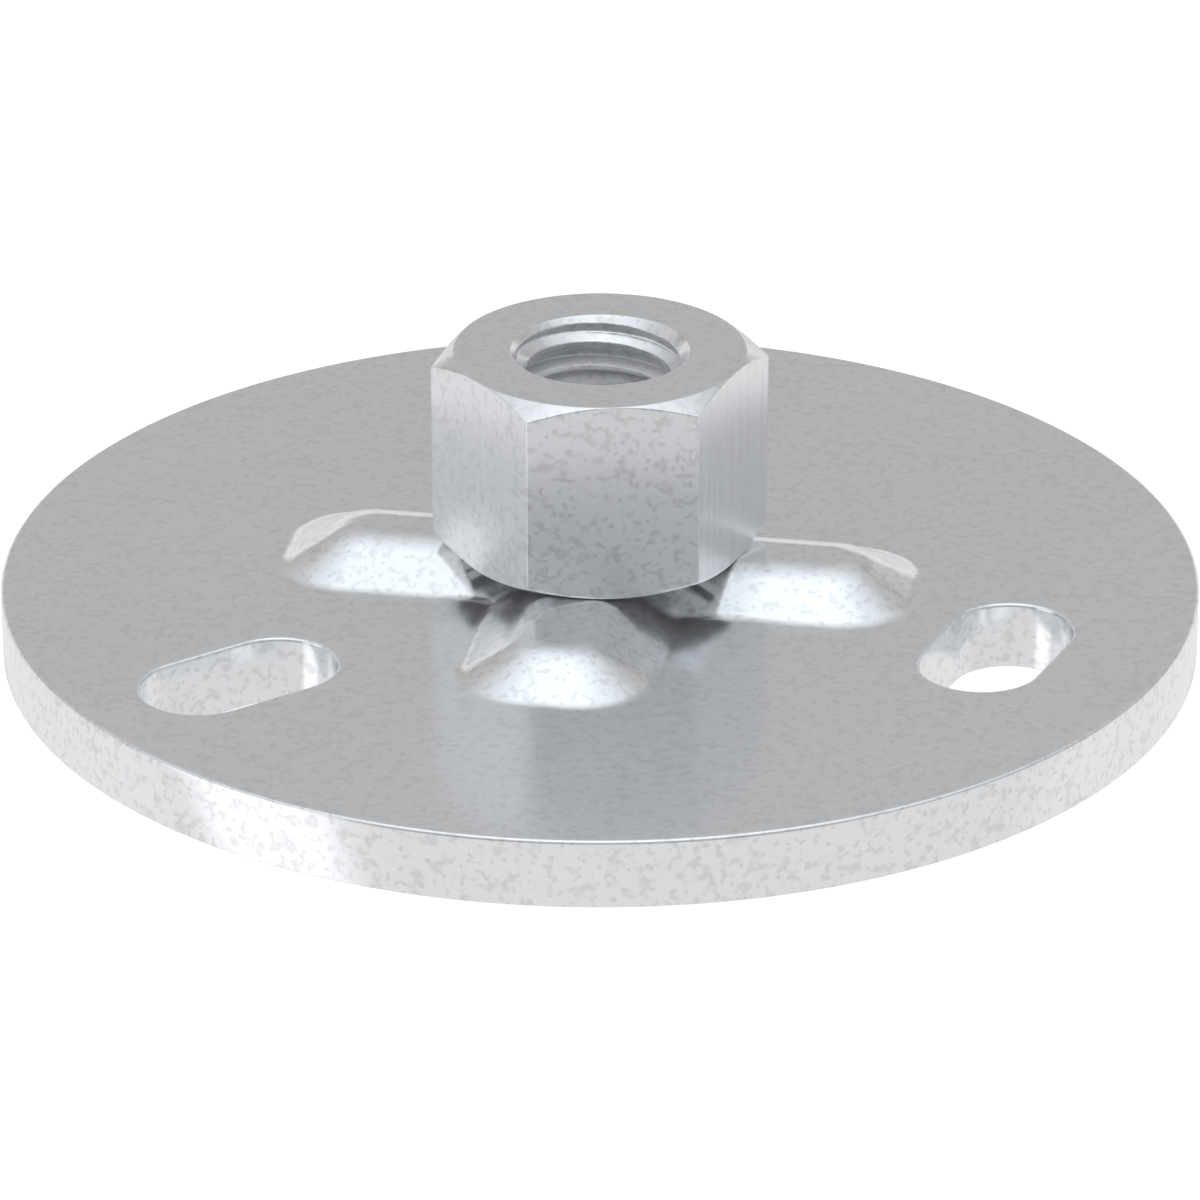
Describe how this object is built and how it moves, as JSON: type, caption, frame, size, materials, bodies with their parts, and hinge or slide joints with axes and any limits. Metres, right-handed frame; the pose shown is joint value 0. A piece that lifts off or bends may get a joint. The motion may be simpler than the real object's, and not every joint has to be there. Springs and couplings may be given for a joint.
{
  "type": "threaded base plate",
  "caption": "Round steel wall plate with slotted screw holes, a raised pressed cross and a central hexagon nut that takes a threaded rod.",
  "frame": {"origin": "middle of the disc's flat underside, which goes against the wall or ceiling", "axes": "+Z away from the wall, along the thread; the arms of the raised cross lie along X and Y"},
  "size_m": [0.07, 0.07, 0.018],
  "materials": {
    "plate_steel": "zinc-plated steel sheet, satin, with a fine grey fleck",
    "nut_steel": "zinc-plated turned and drawn hexagon steel, satin, with a fine grey fleck"
  },
  "bodies": {
    "root": {"base_plate": "plate_steel", "threaded_nut": "nut_steel"}
  },
  "joints": []
}
